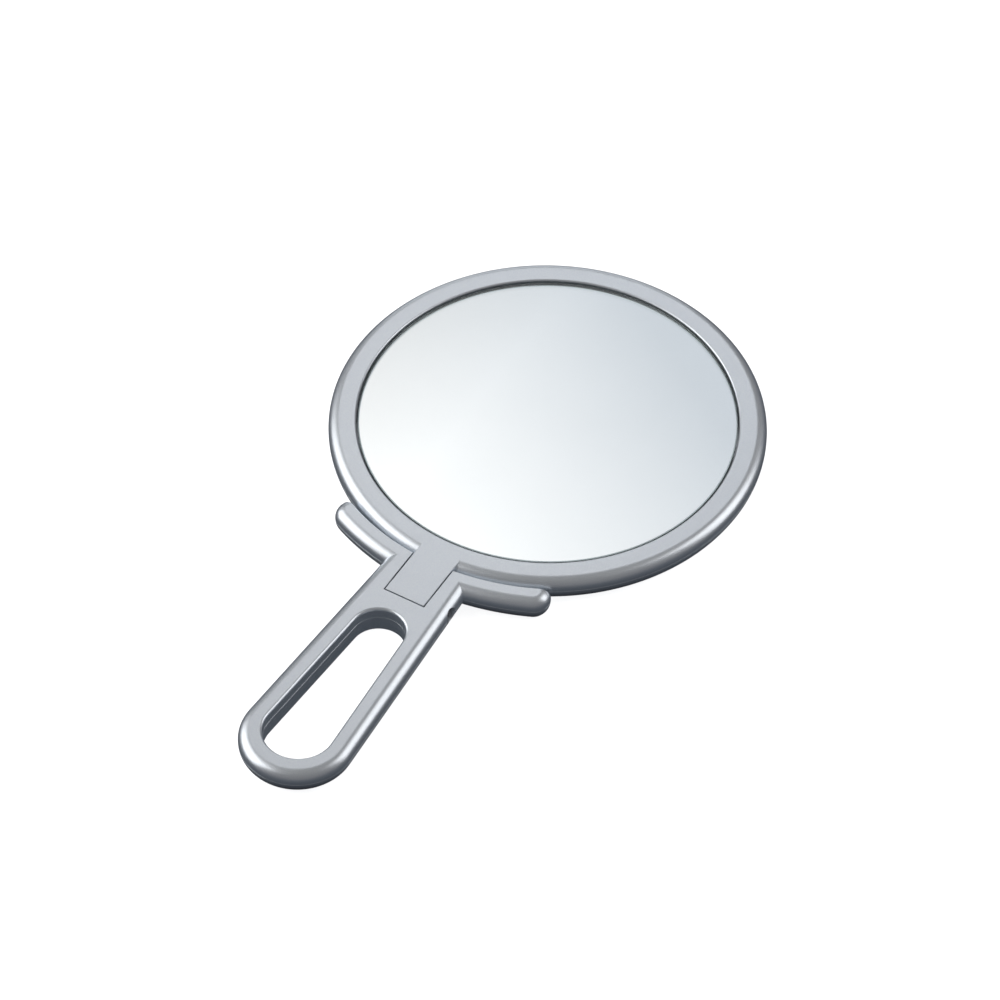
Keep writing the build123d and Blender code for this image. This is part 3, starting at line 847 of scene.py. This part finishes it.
# ---- operators ----
class BuildHeadShells(bpy.types.Operator):
    """Turns the front frame and the dished back cover, each with its half of the tongue"""

    bl_idname = "mirror.build_head_shells"
    bl_label = "Head shells"

    def front(self, head, hardware):
        """Ring round the glass with the front half of the tongue."""
        opening, rounding = head.opening, head.opening_round
        shoulder = edge_levels(FACE, head.shoulder, head.seam)
        outer = [(HEAD_RADIUS - inset, z) for inset, z in shoulder]
        lip = arc((opening + rounding, FACE - rounding), rounding, math.pi / 2, math.pi, 10)
        pocket_in, pocket_out = opening + head.wall, HEAD_RADIUS - head.wall
        pocket_top = FACE - head.roof
        inner = [
            (opening, PARTING), (pocket_in, PARTING), (pocket_in, pocket_top), (pocket_out, pocket_top),
            (pocket_out, PARTING),
        ]
        profile = outer + lip + inner
        ring = solid(
            "front_frame_shell", [upright_ring(r, z, steps=RING_STEPS) for r, z in profile], closed=True)
        overlap, edge = 0.5 * MM, head.tongue_edge
        inner_end = -(HEAD_RADIUS - head.shoulder - overlap)
        levels = [
            (head.seam, PARTING), (0.0, PARTING + head.seam),
            (0.0, FACE - edge), (0.3 * edge, FACE - 0.3 * edge), (edge, FACE),
        ]
        rings = []
        for inset, z in levels:
            half = head.tongue_half - inset
            end = TONGUE_END + inset
            rings.append([(-half, end, z), (half, end, z), (half, inner_end, z), (-half, inner_end, z)])
        combine(ring, solid("tongue_front", rings), "UNION")
        cut(ring, pilot_bores("neck_pilot", [(0.0, -head.neck_screw)], hardware, hardware.neck_seat))
        cut(ring, hinge_bore("front_hinge_bore", head, hardware))
        return ring

    def back(self, head, hardware):
        """Dished cover with the back half of the tongue and its barrel."""
        outer = [(HEAD_RADIUS - inset, z) for inset, z in edge_levels(0.0, head.back_round, head.seam)]
        inner_radius = HEAD_RADIUS - head.wall - head.locator
        inner = [
            (HEAD_RADIUS - head.back_round, head.wall), (inner_radius, head.wall + head.dish),
            (inner_radius, PARTING),
        ]
        profile = inner + outer
        cover = solid("back_cover_shell", [upright_ring(r, z, steps=RING_STEPS) for r, z in profile])
        barrel = arc((PIN.y, PIN.z), TONGUE_REACH, math.pi, 1.5 * math.pi, 16)
        side = barrel + [(-inner_radius, TONGUE_BACK), (-inner_radius, PARTING)]
        half = head.tongue_half
        tongue = solid("tongue_back", [[(x, y, z) for y, z in side] for x in (-half, half)])
        combine(cover, tongue, "UNION")
        bosses = bmesh.new()
        places = rim_screw_places(head)
        levels = (head.wall / 2, PARTING)
        for place in places:
            add_solid(bosses, [
                upright_ring(hardware.boss_radius, z, place, PILOT_STEPS) for z in levels])
        combine(cover, piece_from("rim_bosses", bosses), "UNION")
        cut(cover, screw_bores("rim_bores", places, hardware, hardware.bore_seat, 0.0))
        cut(cover, screw_bores(
            "neck_bore", [(0.0, -head.neck_screw)], hardware, hardware.neck_seat, TONGUE_BACK))
        cut(cover, hinge_bore("back_hinge_bore", head, hardware))
        return cover

    def execute(self, context):
        head, hardware = context.scene.mirror_head, context.scene.mirror_hardware
        for piece, node in (
                (self.front(head, hardware), "front_frame"), (self.back(head, hardware), "back_cover")):
            smooth(piece)
            finish_piece(piece, "head", "silver_shell", finish_named("silver_paint"), node)
        return {"FINISHED"}


class BuildMirrorGlass(bpy.types.Operator):
    """Makes the glass disc and the silver film behind it, and dresses the foam pad"""

    bl_idname = "mirror.build_mirror_glass"
    bl_label = "Mirror glass"

    def execute(self, context):
        glass = context.scene.mirror_glass
        radius, low, high, edge = GLASS_HIGH.x, GLASS_LOW.z, GLASS_HIGH.z, glass.edge
        profile = [
            (radius - edge, low), (radius, low + edge), (radius, high - glass.bevel_depth),
            (radius - glass.bevel, high)]
        disc = solid("glass_disc", [upright_ring(r, z, steps=RING_STEPS) for r, z in profile])
        smooth(disc)
        finish_piece(disc, "head", "silvered_glass", finish_named("float_glass"), "mirror_glass")
        film_radius = radius - edge
        film_heights = (low - glass.silver / 2, low + glass.silver / 2)
        film = solid("silver_layer", [upright_ring(film_radius, z, steps=RING_STEPS) for z in film_heights])
        smooth(film)
        finish_piece(film, "head", "silvered_glass", finish_named("silver_film"))
        dress_node("backing_pad", finish_named("foam_sheet"))
        return {"FINISHED"}


class BuildHandleShells(bpy.types.Operator):
    """Makes the front and back shells of the handle with fork, wings and finger loop"""

    bl_idname = "mirror.build_handle_shells"
    bl_label = "Handle shells"

    def blank(self, name, handle, head, face, radius):
        """Bar and wings of one shell, still solid."""
        levels = edge_levels(face, radius, head.seam)
        bar = solid(name, [lifted(bar_outline(handle, -inset), z) for inset, z in levels])
        wings = solid(name + "_wings", [lifted(wing_outline(handle, inset), z) for inset, z in levels])
        combine(bar, wings, "UNION")
        return bar

    def inner_bevel(self, handle, face, amount):
        """Cone that bevels the wings' inner edge at one face."""
        way = 1 if face > PARTING else -1
        middle = (0, handle.wing_centre)
        rings = [
            upright_ring(handle.wing_inner - CLEAR, face - way * (amount + CLEAR), middle, RING_STEPS),
            upright_ring(handle.wing_inner + amount + CLEAR, face + way * CLEAR, middle, RING_STEPS),
        ]
        return solid("wing_bevel", rings)

    def loop_cutter(self, handle, head):
        """Finger opening, flared at both faces and a little at the parting line."""
        low = [(handle.loop_back_round, -CLEAR)]
        for a in between(math.pi / 2, 0, 6):
            radius = handle.loop_back_round
            low.append((radius * (1 - math.cos(a)), radius * (1 - math.sin(a))))
        seam = [(0.0, PARTING - head.seam), (head.seam, PARTING), (0.0, PARTING + head.seam)]
        high = []
        for a in between(0, math.pi / 2, 8):
            radius = handle.loop_round
            high.append((radius * (1 - math.cos(a)), FACE - radius * (1 - math.sin(a))))
        high.append((handle.loop_round, FACE + CLEAR))
        levels = low + seam + high
        return solid("loop_cutter", [lifted(loop_outline(handle, grow), z) for grow, z in levels])

    def fork_cutter(self, handle, head):
        """Gap between the ears, with the ramp that stops the fold."""
        half, edge = head.tongue_half + handle.fork_gap, handle.fork_edge
        end = TONGUE_END - handle.fork_gap
        levels = [
            (edge + CLEAR, end - handle.stop_run - CLEAR, -CLEAR),
            (edge, end - handle.stop_run - edge, 0.0),
            (0.0, end - handle.stop_run + edge, edge),
            (0.0, end - handle.stop_lean, PARTING),
            (0.0, end, FACE - edge),
            (0.3 * edge, end - 0.3 * edge, FACE - 0.3 * edge),
            (edge, end - edge, FACE),
            (edge + CLEAR, end - edge - CLEAR, FACE + CLEAR),
        ]
        rings = []
        for grow, y, z in levels:
            wide = half + grow
            rings.append([(-wide, y, z), (wide, y, z), (wide, 0, z), (-wide, 0, z)])
        return solid("fork_cutter", rings)

    def hollow_cutter(self, handle, head, inset, low, high):
        """Hollow round the opening, below the neck."""
        rings = [lifted(bar_outline(handle, -inset), z) for z in (low, high)]
        hollow = solid("hollow_cutter", rings)
        core = [lifted(loop_outline(handle, head.wall), z) for z in (low - CLEAR, high + CLEAR)]
        cut(hollow, solid("hollow_core", core))
        wide = handle.end_radius
        cut(hollow, block("hollow_top", (-wide, -handle.hollow_top, low - CLEAR), (wide, 0, high + CLEAR)))
        return hollow

    def hinge_cutter(self, hardware):
        """Hole through both ears, round recess on the right and hexagon pocket on the left."""
        far = HANDLE_HIGH.x
        hole = solid("ear_hole", [pin_ring(hardware.hole_radius, x) for x in (-far, far)])
        seat = SPRING_LOW.x
        recess = solid("head_recess", [pin_ring(hardware.recess_radius, x) for x in (seat, far)])
        combine(hole, recess, "UNION")
        flats = (NUT_HIGH.y - NUT_LOW.y, NUT_HIGH.z - NUT_LOW.z)
        across = max(flats) / 2 + hardware.nut_play / math.sqrt(3)
        turn = 0 if flats[0] > flats[1] else math.pi / 6
        pocket = solid("nut_pocket", [hexagon(across, x, turn) for x in (-far, NUT_HIGH.x)])
        combine(hole, pocket, "UNION")
        return hole

    def shell(self, context, front):
        """One whole shell, front or back."""
        scene = context.scene
        head, handle, hardware = scene.mirror_head, scene.mirror_handle, scene.mirror_hardware
        side = "front" if front else "back"
        face = FACE if front else 0.0
        radius = head.shoulder if front else head.back_round
        piece = self.blank(f"handle_{side}_cover", handle, head, face, radius)
        bevel = handle.wing_front_break if front else handle.wing_back_break
        cut(piece, self.inner_bevel(handle, face, bevel))
        cut(piece, self.loop_cutter(handle, head))
        cut(piece, self.fork_cutter(handle, head))
        places, seat = handle_screw_places(handle), hardware.bore_seat
        if front:
            cut(piece, self.hollow_cutter(
                handle, head, handle.front_inset, PARTING - CLEAR, FACE - head.roof))
            cut(piece, pilot_bores("handle_pilots", places[:2], hardware, seat))
        else:
            cut(piece, self.hollow_cutter(
                handle, head, handle.back_inset, handle.floor, PARTING + CLEAR))
            cut(piece, screw_bores("handle_bores", places, hardware, seat, 0.0))
        cut(piece, self.hinge_cutter(hardware))
        return piece

    def execute(self, context):
        for front, node in ((True, "handle_front_shell"), (False, "handle_back_shell")):
            piece = self.shell(context, front)
            smooth(piece)
            finish_piece(piece, "handle", "silver_shell", finish_named("silver_paint"), node)
        return {"FINISHED"}


class BuildHinge(bpy.types.Operator):
    """Makes the hinge screw and its nut, and dresses the sleeve and the washers"""

    bl_idname = "mirror.build_hinge"
    bl_label = "Friction hinge"

    def screw(self, hardware):
        """Pan-head screw with its thread and cross recess."""
        under_head = SPRING_HIGH.x
        top = under_head + hardware.head_depth
        rounding = hardware.head_round
        tip = 0.5 * MM
        steps = [(hardware.shank_radius - tip, SCREW_LOW.x), (hardware.shank_radius, SCREW_LOW.x + tip)]
        pitch = 0.5 * MM
        depth = 0.22 * MM
        thread_end = NUT_HIGH.x + MM
        turns = int((thread_end - SCREW_LOW.x - tip) / pitch)
        for k in range(turns):
            start = SCREW_LOW.x + tip + k * pitch
            steps.append((hardware.shank_radius - depth, start + pitch / 2))
            steps.append((hardware.shank_radius, start + pitch))
        steps += [(hardware.shank_radius, under_head), (hardware.head_radius, under_head)]
        for a in between(0, math.pi / 2, 8):
            inset, fall = rounding * (1 - math.cos(a)), rounding * (1 - math.sin(a))
            steps.append((hardware.head_radius - inset, top - fall))
        screw = solid("hinge_pan_screw", [pin_ring(r, x) for r, x in steps])
        span, thin, taper = hardware.head_radius - rounding, hardware.slot_width / 2, 0.7
        for wide, tall in ((span, thin), (thin, span)):
            rings = []
            for x, share in ((top - hardware.slot_depth, taper), (top + CLEAR, 1.0)):
                y, z = wide * share, tall * share
                rings.append([
                    (x, PIN.y - y, PIN.z - z), (x, PIN.y + y, PIN.z - z),
                    (x, PIN.y + y, PIN.z + z), (x, PIN.y - y, PIN.z + z)])
            cut(screw, solid("cross_arm", rings))
        return screw

    def nut(self, hardware):
        """Hexagon nut, bevelled on both faces, with its bore."""
        flats = (NUT_HIGH.y - NUT_LOW.y, NUT_HIGH.z - NUT_LOW.z)
        across = max(flats) / 2
        turn = 0 if flats[0] > flats[1] else math.pi / 6
        nut = solid("hex_nut", [hexagon(across, x, turn) for x in (NUT_LOW.x, NUT_HIGH.x)])
        small, bevel, spare, past = min(flats) / 2, 0.35 * MM, 0.1 * MM, 0.01 * MM
        steps = [
            (small, NUT_LOW.x - past), (across + spare, NUT_LOW.x + bevel),
            (across + spare, NUT_HIGH.x - bevel), (small, NUT_HIGH.x + past),
        ]
        combine(nut, solid("nut_turning", [pin_ring(r, x) for r, x in steps]), "INTERSECT")
        bore = hardware.shank_radius
        steps = [
            (bore + bevel + CLEAR, NUT_LOW.x - CLEAR), (bore, NUT_LOW.x + bevel),
            (bore, NUT_HIGH.x + CLEAR)]
        cut(nut, solid("nut_bore", [pin_ring(r, x) for r, x in steps]))
        return nut

    def execute(self, context):
        hardware = context.scene.mirror_hardware
        for piece, node in ((self.screw(hardware), "hinge_screw"), (self.nut(hardware), "hinge_nut")):
            smooth(piece)
            finish_piece(piece, "handle", "plated_steel", finish_named("zinc_plate"), node)
        for name in ("hinge_sleeve", "spring_washer"):
            dress_node(name, finish_named("zinc_plate"))
        for name in ("friction_washer_left", "friction_washer_right"):
            dress_node(name, finish_named("natural_nylon"))
        return {"FINISHED"}


class BuildScrews(bpy.types.Operator):
    """Sets one self-tapping screw at every seat of head and handle"""

    bl_idname = "mirror.build_screws"
    bl_label = "Self-tapping screws"

    def pattern(self, hardware):
        """One screw with its seat at the origin, head below."""
        rounding = 0.4 * MM
        tip = MM
        face = -hardware.tapper_depth
        steps = []
        for a in between(math.pi / 2, 0, 6):
            inset, rise = rounding * (1 - math.cos(a)), rounding * (1 - math.sin(a))
            steps.append((hardware.tapper_head - inset, face + rise))
        steps += [(hardware.tapper_head, 0.0), (hardware.tapper_shank, 0.0)]
        pitch = MM
        core, taper = 0.72 * hardware.tapper_shank, 0.65
        turns = int((hardware.tapper_length - tip) / pitch)
        for k in range(turns):
            steps += [(core, (k + 0.5) * pitch), (hardware.tapper_shank, (k + 1) * pitch)]
        steps.append((hardware.tapper_shank / 3, hardware.tapper_length))
        screw = solid("screw_pattern", [upright_ring(r, z, steps=32) for r, z in steps])
        span, thin = hardware.tapper_span / 2, hardware.slot_width / 2
        for wide, tall in ((span, thin), (thin, span)):
            rings = []
            for z, share in ((face - CLEAR, 1.0), (face + hardware.slot_depth, taper)):
                x, y = wide * share, tall * share
                rings.append([(-x, -y, z), (x, -y, z), (x, y, z), (-x, y, z)])
            cut(screw, solid("cross_arm", rings))
        smooth(screw)
        return screw

    def tree(self):
        """Node group that sets a pattern on every point of a mesh."""
        group = bpy.data.node_groups.new("screws_at_seats", "GeometryNodeTree")
        sockets = {
            "Seats": "Geometry", "Screw": "Object", "Size": "Float", "Turn per screw": "Float",
            "Plating": "Material"}
        for name, kind in sockets.items():
            group.interface.new_socket(name, in_out="INPUT", socket_type="NodeSocket" + kind)
        group.interface.new_socket("Screws", in_out="OUTPUT", socket_type="NodeSocketGeometry")
        given = group.nodes.new("NodeGroupInput")
        result = group.nodes.new("NodeGroupOutput")
        info = group.nodes.new("GeometryNodeObjectInfo")
        index = group.nodes.new("GeometryNodeInputIndex")
        turn = group.nodes.new("ShaderNodeMath")
        turn.operation = "MULTIPLY"
        spin = group.nodes.new("ShaderNodeCombineXYZ")
        place = group.nodes.new("GeometryNodeInstanceOnPoints")
        real = group.nodes.new("GeometryNodeRealizeInstances")
        plate = group.nodes.new("GeometryNodeSetMaterial")
        for source, output, target, socket in (
                (given, "Screw", info, "Object"), (given, "Seats", place, "Points"),
                (info, "Geometry", place, "Instance"), (given, "Size", place, "Scale"),
                (index, "Index", turn, 0), (given, "Turn per screw", turn, 1), (turn, 0, spin, "Z"),
                (spin, 0, place, "Rotation"), (place, "Instances", real, "Geometry"),
                (real, "Geometry", plate, "Geometry"), (given, "Plating", plate, "Material"),
                (plate, "Geometry", result, "Screws")):
            group.links.new(source.outputs[output], target.inputs[socket])
        return group

    def group_of(self, name, seats, pattern, tree):
        """Plain mesh of the pattern on every seat."""
        data = bpy.data.meshes.new(name)
        data.from_pydata(seats, [], [])
        piece = bpy.data.objects.new(name, data)
        bpy.context.scene.collection.objects.link(piece)
        modifier = piece.modifiers.new("screws", "NODES")
        modifier.node_group = tree
        values = {
            "Screw": pattern, "Size": 1.0, "Turn per screw": 2.1, "Plating": finish_named("zinc_plate")}
        for socket in tree.interface.items_tree:
            if socket.in_out == "INPUT" and socket.name in values:
                modifier[socket.identifier] = values[socket.name]
        settle(piece)
        return piece

    def execute(self, context):
        scene = context.scene
        head, handle, hardware = scene.mirror_head, scene.mirror_handle, scene.mirror_hardware
        pattern, tree = self.pattern(hardware), self.tree()
        seat = hardware.bore_seat
        head_seats = [(x, y, seat) for x, y in rim_screw_places(head)]
        head_seats.append((0.0, -head.neck_screw, hardware.neck_seat))
        handle_seats = [(x, y, seat) for x, y in handle_screw_places(handle)]
        for name, seats, body in (
                ("rim_self_tappers", head_seats, "head"), ("handle_self_tappers", handle_seats, "handle")):
            piece = self.group_of(name, seats, pattern, tree)
            finish_piece(piece, body, "plated_steel", finish_named("zinc_plate"), f"{body}_screws")
        discard(pattern)
        return {"FINISHED"}


class SetStage(bpy.types.Operator):
    """Lays the pale floor, hangs the soft lights and sets the camera"""

    bl_idname = "mirror.set_stage"
    bl_label = "Studio stage"

    def sheet(self, name, half_x, half_y, height=0.0):
        """Flat rectangle about the middle, facing up."""
        data = bpy.data.meshes.new(name)
        corners = [
            (-half_x, -half_y, height), (half_x, -half_y, height),
            (half_x, half_y, height), (-half_x, half_y, height)]
        data.from_pydata(corners, [], [(0, 1, 2, 3)])
        made = bpy.data.objects.new(name, data)
        bpy.context.scene.collection.objects.link(made)
        return made

    def floor(self, studio):
        """Pale floor just under the mirror, seen but not reflected."""
        half, drop = 4.0, 0.05 * MM
        floor = self.sheet("floor", half, half, -drop)
        shader = Shader("pale_floor")
        grain = shader.noise(60 * MM, detail=3.0)
        shader.feed("Base Color", shader.mix(
            grain.outputs["Fac"], (0.88, 0.88, 0.88, 1.0), (0.9, 0.9, 0.9, 1.0)))
        shader.set(
            Roughness=0.9, Emission_Color=opaque(WHITE), Emission_Strength=studio.floor_glow)
        floor.data.materials.append(shader.material)
        floor.visible_glossy = False
        floor.visible_diffuse = False
        floor.visible_transmission = False

    def softbox(self, name, azimuth, elevation, distance, width, height, strength, colour=WHITE):
        """Rectangular light of even brightness, aimed at the mirror."""
        light = bpy.data.lights.new(name, "AREA")
        light.shape = "RECTANGLE"
        light.size, light.size_y = width, height
        light.energy = strength * math.pi * width * height
        light.color = colour
        lamp = bpy.data.objects.new(name, light)
        bpy.context.scene.collection.objects.link(lamp)
        a, e = math.radians(azimuth), math.radians(elevation)
        way = Vector((math.cos(a) * math.cos(e), math.sin(a) * math.cos(e), math.sin(e)))
        middle = Vector((0, (HEAD_HIGH.y + HANDLE_LOW.y) / 2, 0))
        lamp.location = middle + way * distance
        lamp.rotation_euler = way.to_track_quat("Z", "Y").to_euler()
        lamp.visible_camera = False

    def overhead_card(self, studio, camera):
        """Large pale card that the flat faces reflect, shaded along a slanting line."""
        height, half_x, half_y, nearer = 1.2, 0.42, 0.50, 0.10
        back = camera.matrix_world.col[2].xyz
        bounce = Vector((-back.x, -back.y, back.z))
        middle = bounce * (height / bounce.z)
        stretch = 1 + height / bounce.z / studio.distance
        card = self.sheet("overhead_card", half_x, half_y)
        card.data.flip_normals()
        card.location = (middle.x, middle.y - nearer, height)
        shader = Shader("overhead_card")
        split = shader.node("ShaderNodeSeparateXYZ", Vector=shader.place)
        across, upward = split.outputs["X"], split.outputs["Y"]
        lean_x, lean_y = 0.54, 0.84
        along = shader.math(
            "ADD", shader.math("MULTIPLY", across, lean_x), shader.math("MULTIPLY", upward, lean_y))
        shift, reach = nearer * lean_y, 0.175 * stretch
        ramp = shader.nodes.new("ShaderNodeValToRGB")
        shader.links.new(shader.span(along, shift - reach, shift + reach, 0.0, 1.0), ramp.inputs["Fac"])
        fill_ramp(ramp, CARD_SHADES)
        left = shader.span(across, low=-0.15, high=-0.05, to_low=0.81, to_high=1.0)
        right = shader.span(across, low=0.16, high=0.34, to_low=1.0, to_high=0.35)
        outer = shader.span(across, low=-0.34, high=-0.19, to_low=1.7, to_high=1.0)
        side = shader.math("MULTIPLY", shader.math("MULTIPLY", left, outer), right)
        shader.feed("Emission Color", ramp.outputs["Color"])
        shader.feed("Emission Strength", side)
        shader.set(Base_Color=(0, 0, 0, 1), Roughness=1.0)
        card.data.materials.append(shader.material)
        card.visible_camera = False

    def world(self):
        """Grey room, dark below and lighter above, seen as white past the floor's edge."""
        world = bpy.data.worlds.new("studio")
        bpy.context.scene.world = world
        world.use_nodes = True
        nodes, links = world.node_tree.nodes, world.node_tree.links
        nodes.clear()
        where = nodes.new("ShaderNodeTexCoord")
        split = nodes.new("ShaderNodeSeparateXYZ")
        ramp = nodes.new("ShaderNodeValToRGB")
        spread = nodes.new("ShaderNodeMapRange")
        spread.inputs["From Min"].default_value = -1.0
        room = nodes.new("ShaderNodeBackground")
        links.new(where.outputs["Generated"], split.inputs[0])
        links.new(split.outputs["Z"], spread.inputs["Value"])
        links.new(spread.outputs["Result"], ramp.inputs["Fac"])
        links.new(ramp.outputs["Color"], room.inputs["Color"])
        fill_ramp(ramp, ROOM_SHADES)
        white = nodes.new("ShaderNodeBackground")
        white.inputs["Color"].default_value = opaque(WHITE)
        seen = nodes.new("ShaderNodeLightPath")
        blend = nodes.new("ShaderNodeMixShader")
        output = nodes.new("ShaderNodeOutputWorld")
        links.new(seen.outputs["Is Camera Ray"], blend.inputs["Fac"])
        links.new(room.outputs["Background"], blend.inputs[1])
        links.new(white.outputs["Background"], blend.inputs[2])
        links.new(blend.outputs["Shader"], output.inputs["Surface"])

    def camera(self, studio):
        """Camera at its distance from the target, turned, raised and rolled."""
        full_frame, far = 36.0, 50.0
        data = bpy.data.cameras.new("camera")
        data.lens = studio.lens
        data.sensor_width = full_frame
        data.clip_end = far
        camera = bpy.data.objects.new("camera", data)
        bpy.context.scene.collection.objects.link(camera)
        a, e, roll = studio.azimuth, studio.elevation, studio.roll
        back = Vector((math.sin(a) * math.cos(e), -math.cos(a) * math.cos(e), math.sin(e)))
        flat = Vector((math.cos(a), math.sin(a), 0))
        up = back.cross(flat)
        right = flat * math.cos(roll) + up * math.sin(roll)
        top = up * math.cos(roll) - flat * math.sin(roll)
        turned = Matrix((right, top, back)).transposed().to_4x4()
        camera.matrix_world = Matrix.Translation(Vector(studio.target) + back * studio.distance) @ turned
        bpy.context.scene.camera = camera
        return camera

    def execute(self, context):
        studio = context.scene.mirror_studio
        context.scene.view_settings.view_transform = "Standard"
        camera = self.camera(studio)
        self.floor(studio)
        self.softbox(
            "left_softbox", azimuth=198, elevation=33, distance=1.5, width=1.75, height=1.6,
            strength=studio.left_strength)
        self.softbox(
            "right_softbox", azimuth=38, elevation=32, distance=1.6, width=0.95, height=1.4,
            strength=studio.right_strength)
        self.softbox(
            "back_wall", azimuth=122, elevation=8, distance=2.0, width=1.2, height=1.3,
            strength=studio.back_strength, colour=(0.93, 0.97, 1.0))
        self.overhead_card(studio, camera)
        self.world()
        return {"FINISHED"}


class MirrorPanel(bpy.types.Panel):
    """Lists the pieces of the hand mirror"""

    bl_idname = "VIEW3D_PT_hand_mirror"
    bl_label = "Hand mirror"
    bl_space_type = "VIEW_3D"
    bl_region_type = "UI"
    bl_category = "Hand Mirror"

    def draw(self, context):
        for operator in OPERATORS:
            self.layout.operator(operator.bl_idname)
        for group, members in GROUPS.items():
            box = self.layout.box()
            box.label(text=members.__doc__)
            settings = getattr(context.scene, group)
            for name in members.__annotations__:
                box.prop(settings, name)


OPERATORS = (BuildHeadShells, BuildMirrorGlass, BuildHandleShells, BuildHinge, BuildScrews, SetStage)
GROUPS = {
    "mirror_head": HeadSizes,
    "mirror_glass": GlassSizes,
    "mirror_handle": HandleSizes,
    "mirror_hardware": HardwareSizes,
    "mirror_finishes": Finishes,
    "mirror_studio": StudioSettings,
}


def register():
    for item in (*GROUPS.values(), *OPERATORS, MirrorPanel):
        bpy.utils.register_class(item)
    for name, group in GROUPS.items():
        setattr(bpy.types.Scene, name, PointerProperty(type=group))


def unregister():
    for name in GROUPS:
        delattr(bpy.types.Scene, name)
    for item in reversed((*GROUPS.values(), *OPERATORS, MirrorPanel)):
        bpy.utils.unregister_class(item)


def main():
    register()
    bpy.ops.mirror.build_head_shells()
    bpy.ops.mirror.build_mirror_glass()
    bpy.ops.mirror.build_handle_shells()
    bpy.ops.mirror.build_hinge()
    bpy.ops.mirror.build_screws()
    bpy.ops.mirror.set_stage()


if __name__ == "__main__":
    main()
